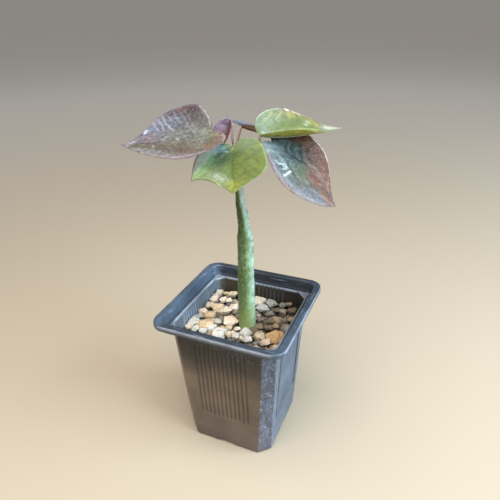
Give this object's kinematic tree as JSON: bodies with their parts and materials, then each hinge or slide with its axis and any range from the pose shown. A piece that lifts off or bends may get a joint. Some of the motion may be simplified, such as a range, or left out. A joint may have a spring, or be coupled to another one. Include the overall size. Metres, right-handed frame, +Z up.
{
  "type": "potted adenia stylosa",
  "caption": "Young caudex plant with a green stem and heart-shaped leaves, growing in pale gravel in a square ribbed plastic nursery pot.",
  "frame": {"origin": "on the surface that the pot stands on, under the middle of the whole plant's box seen from above", "axes": "+Z up; -Y out of the pot's front side, which is the wide ribbed one in the picture; +X out of the side to its right"},
  "size_m": [0.0882, 0.0788, 0.1789],
  "materials": {
    "pot_plastic": "satin moulded charcoal plastic, scuffed, with pale lime marks",
    "potting_mix": "rough dark crumbly soil",
    "gravel_stone": "matt pale chips in cream, beige, ochre and grey",
    "stem_green": "soft green skin with a pale waxy bloom",
    "leaf_left_tissue": "waxy mottled mauve and olive leaf with a copper band and a pink margin",
    "leaf_front_tissue": "waxy yellow-green leaf with faint darker veins and a pale margin",
    "leaf_right_upper_tissue": "waxy light green leaf with cream mottling and a dry nick in its margin",
    "leaf_right_lower_tissue": "glossy slate green leaf with a copper edge and a pink margin",
    "young_leaf_left_tissue": "waxy pink-mauve young leaf, red-brown underneath",
    "young_leaf_right_tissue": "waxy grey-lilac young leaf, copper underneath"
  },
  "bodies": {
    "root": {"pot": "pot_plastic", "potting_mix": "potting_mix", "gravel": "gravel_stone", "stem": "stem_green", "leaf_left": "leaf_left_tissue", "leaf_front": "leaf_front_tissue", "leaf_right_upper": "leaf_right_upper_tissue", "leaf_right_lower": "leaf_right_lower_tissue", "young_leaf_left": "young_leaf_left_tissue", "young_leaf_right": "young_leaf_right_tissue"}
  },
  "joints": []
}
